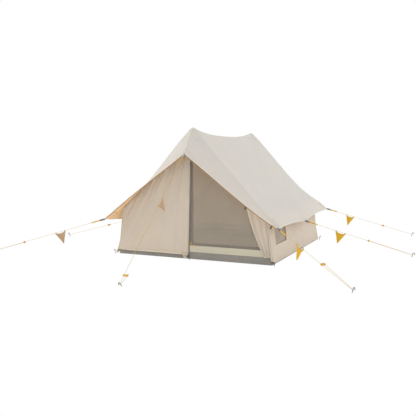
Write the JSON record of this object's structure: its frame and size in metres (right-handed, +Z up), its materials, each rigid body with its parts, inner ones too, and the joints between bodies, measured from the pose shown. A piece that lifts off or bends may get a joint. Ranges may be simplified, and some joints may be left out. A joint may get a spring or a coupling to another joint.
{
  "type": "ridge tent",
  "caption": "Pale canvas two-pole ridge tent with swooping roof, end hoods, zipped door panels, mesh door, groundsheet tub, guy lines with runners and cloth pennants.",
  "frame": {"origin": "centre of the groundsheet's underside, on the ground", "axes": "+Z up, +Y along the ridge towards the back, the front door faces -Y, +X to the right seen from the front"},
  "size_m": [5.7082, 6.141, 1.8012],
  "materials": {
    "canopy": "matte woven technical cotton, off-white",
    "canopy_trim": "matte reinforcement patches",
    "wall_canvas": "matte cotton, warm beige where light comes through",
    "mosquito_mesh": "fine dark mesh",
    "zip_tape": "grey woven tape with coil teeth",
    "groundsheet_grey": "coated grey-brown groundsheet cloth",
    "sill_canvas": "matte cream cotton",
    "pull_mustard": "mustard cord pull on a metal slider",
    "toggle_dark": "dark toggle",
    "peg_steel": "bare bent rod",
    "loop_white": "white braided loop",
    "pole_lower": "brown coated tube",
    "pole_upper": "brown coated tube",
    "pole_plastic": "black moulded ends",
    "webbing_grey": "grey webbing",
    "webbing_mustard": "mustard webbing",
    "rope": "pale straw braided rope",
    "runner_mustard": "mustard moulded runner",
    "pennant_cloth": "mustard cloth, tan on the other face"
  },
  "bodies": {
    "tent": {"roof_slope_right": "canopy", "roof_slope_left": "canopy", "front_hood_right": "canopy", "front_hood_left": "canopy", "back_hood_right": "canopy", "back_hood_left": "canopy", "peak_caps": "canopy_trim", "guy_point_patches": "canopy_trim", "front_wall_panels": "wall_canvas", "front_door_right_stowed": "wall_canvas", "back_wall_panels": "wall_canvas", "side_wall_right": "wall_canvas", "side_wall_left": "wall_canvas", "mesh_panels": "mosquito_mesh", "window_meshes": "mosquito_mesh", "fixed_zip_tapes": "zip_tape", "groundsheet": "groundsheet_grey", "sill_bands": "sill_canvas", "door_toggles": "toggle_dark", "floor_pegs": "peg_steel", "guy_pegs": "peg_steel", "floor_peg_loops": "loop_white", "pole_lower_sections": "pole_lower", "pole_upper_sections": "pole_upper", "pole_ends": "pole_plastic", "guy_tabs": "webbing_grey", "guy_straps": "webbing_mustard", "guy_line_front": "rope", "guy_line_front_right": "rope", "guy_line_front_left": "rope", "guy_line_side_right": "rope", "guy_line_side_left": "rope", "guy_line_back_right": "rope", "guy_line_back_left": "rope", "guy_line_back": "rope"},
    "front_door": {"front_door_left": "wall_canvas", "door_zip_tape": "zip_tape"},
    "back_door_right": {"back_door_right": "wall_canvas"},
    "back_door_left": {"back_door_left": "wall_canvas"},
    "mesh_door": {"mesh_door_right": "mosquito_mesh", "mesh_zip_tape_door": "zip_tape"},
    "door_zip_slider": {"door_zip_slider": "pull_mustard"},
    "mesh_zip_upright": {"mesh_zip_slider_upright": "pull_mustard"},
    "mesh_zip_foot": {"mesh_zip_slider_foot": "pull_mustard"},
    "back_zip_slider": {"back_zip_slider": "pull_mustard"},
    "runner_front": {"runner_front": "runner_mustard"},
    "pennant_front": {"pennant_front": "pennant_cloth"},
    "runner_front_right": {"runner_front_right": "runner_mustard"},
    "pennant_front_right": {"pennant_front_right": "pennant_cloth"},
    "runner_front_left": {"runner_front_left": "runner_mustard"},
    "pennant_front_left": {"pennant_front_left": "pennant_cloth"},
    "runner_side_right": {"runner_side_right": "runner_mustard"},
    "pennant_side_right": {"pennant_side_right": "pennant_cloth"},
    "runner_side_left": {"runner_side_left": "runner_mustard"},
    "runner_back_right": {"runner_back_right": "runner_mustard"},
    "pennant_back_right": {"pennant_back_right": "pennant_cloth"},
    "runner_back_left": {"runner_back_left": "runner_mustard"},
    "pennant_back_left": {"pennant_back_left": "pennant_cloth"},
    "runner_back": {"runner_back": "runner_mustard"},
    "pennant_back": {"pennant_back": "pennant_cloth"}
  },
  "joints": [
    {"name": "front_door_fold", "type": "hinge", "parent": "tent", "child": "front_door", "pos_m": [-0.014, -1.225, 1.38], "axis": [-0.6342, 0, -0.7732], "range_deg": [0, 100]},
    {"name": "door_zip_run", "type": "slide", "parent": "front_door", "child": "door_zip_slider", "axis": [-0.0271, 0, -0.9996], "range_m": [0, 1.2]},
    {"name": "mesh_door_fold", "type": "hinge", "parent": "tent", "child": "mesh_door", "pos_m": [0.001, -1.213, 1.38], "axis": [-0.644, 0, 0.7651], "range_deg": [0, 85]},
    {"name": "mesh_zip_upright_run", "type": "slide", "parent": "tent", "child": "mesh_zip_upright", "axis": [0, 0, 1], "range_m": [0, 1.1]},
    {"name": "mesh_zip_foot_run", "type": "slide", "parent": "tent", "child": "mesh_zip_foot", "axis": [1, 0, 0], "range_m": [0, 0.92]},
    {"name": "back_door_right_fold", "type": "hinge", "parent": "tent", "child": "back_door_right", "pos_m": [0.002, 1.225, 1.38], "axis": [0.6384, 0, -0.7697], "range_deg": [0, 100]},
    {"name": "back_door_left_fold", "type": "hinge", "parent": "tent", "child": "back_door_left", "pos_m": [-0.002, 1.225, 1.38], "axis": [0.6384, 0, 0.7697], "range_deg": [0, 100]},
    {"name": "back_zip_run", "type": "slide", "parent": "back_door_right", "child": "back_zip_slider", "axis": [0, 0, 1], "range_m": [0, 1.2]},
    {"name": "runner_front_slide", "type": "slide", "parent": "tent", "child": "runner_front", "axis": [0, 0.7466, 0.6653], "range_m": [-0.03, 0.35], "deforming": ["guy_line_front"]},
    {"name": "pennant_front_swing", "type": "hinge", "parent": "tent", "child": "pennant_front", "pos_m": [0, -2.09877, 0.86185], "axis": [0, -0.7466, -0.6653], "range_deg": [-80, 80]},
    {"name": "runner_front_right_slide", "type": "slide", "parent": "tent", "child": "runner_front_right", "axis": [-0.7348, 0.5934, 0.3284], "range_m": [-0.15, 0.3], "deforming": ["guy_line_front_right"]},
    {"name": "pennant_front_right_swing", "type": "hinge", "parent": "tent", "child": "pennant_front_right", "pos_m": [1.64405, -1.70687, 0.35199], "axis": [0.7348, -0.5934, -0.3284], "range_deg": [-80, 80]},
    {"name": "runner_front_left_slide", "type": "slide", "parent": "tent", "child": "runner_front_left", "axis": [0.8478, 0.4565, 0.2699], "range_m": [-0.15, 0.35], "deforming": ["guy_line_front_left"]},
    {"name": "pennant_front_left_swing", "type": "hinge", "parent": "tent", "child": "pennant_front_left", "pos_m": [-1.8325, -1.71442, 0.33686], "axis": [-0.8478, -0.4565, -0.2699], "range_deg": [-80, 80]},
    {"name": "runner_side_right_slide", "type": "slide", "parent": "tent", "child": "runner_side_right", "axis": [-0.9576, -0.0922, 0.2728], "range_m": [-0.15, 0.28], "deforming": ["guy_line_side_right"]},
    {"name": "pennant_side_right_swing", "type": "hinge", "parent": "tent", "child": "pennant_side_right", "pos_m": [1.78276, 0.04841, 0.31179], "axis": [0.9576, 0.0922, -0.2728], "range_deg": [-80, 80]},
    {"name": "runner_side_left_slide", "type": "slide", "parent": "tent", "child": "runner_side_left", "axis": [0.9632, 0.0844, 0.2551], "range_m": [-0.15, 0.35], "deforming": ["guy_line_side_left"]},
    {"name": "runner_back_right_slide", "type": "slide", "parent": "tent", "child": "runner_back_right", "axis": [-0.7891, -0.5421, 0.2889], "range_m": [-0.15, 0.35], "deforming": ["guy_line_back_right"]},
    {"name": "pennant_back_right_swing", "type": "hinge", "parent": "tent", "child": "pennant_back_right", "pos_m": [1.63432, 1.65808, 0.38376], "axis": [0.7891, 0.5421, -0.2889], "range_deg": [-80, 80]},
    {"name": "runner_back_left_slide", "type": "slide", "parent": "tent", "child": "runner_back_left", "axis": [0.7891, -0.5421, 0.2889], "range_m": [-0.15, 0.35], "deforming": ["guy_line_back_left"]},
    {"name": "pennant_back_left_swing", "type": "hinge", "parent": "tent", "child": "pennant_back_left", "pos_m": [-1.66904, 1.68193, 0.37105], "axis": [-0.7891, 0.5421, -0.2889], "range_deg": [-80, 80]},
    {"name": "runner_back_slide", "type": "slide", "parent": "tent", "child": "runner_back", "axis": [0, -0.7466, 0.6653], "range_m": [-0.1, 0.35], "deforming": ["guy_line_back"]},
    {"name": "pennant_back_swing", "type": "hinge", "parent": "tent", "child": "pennant_back", "pos_m": [0, 2.09877, 0.86185], "axis": [0, 0.7466, -0.6653], "range_deg": [-80, 80]}
  ]
}
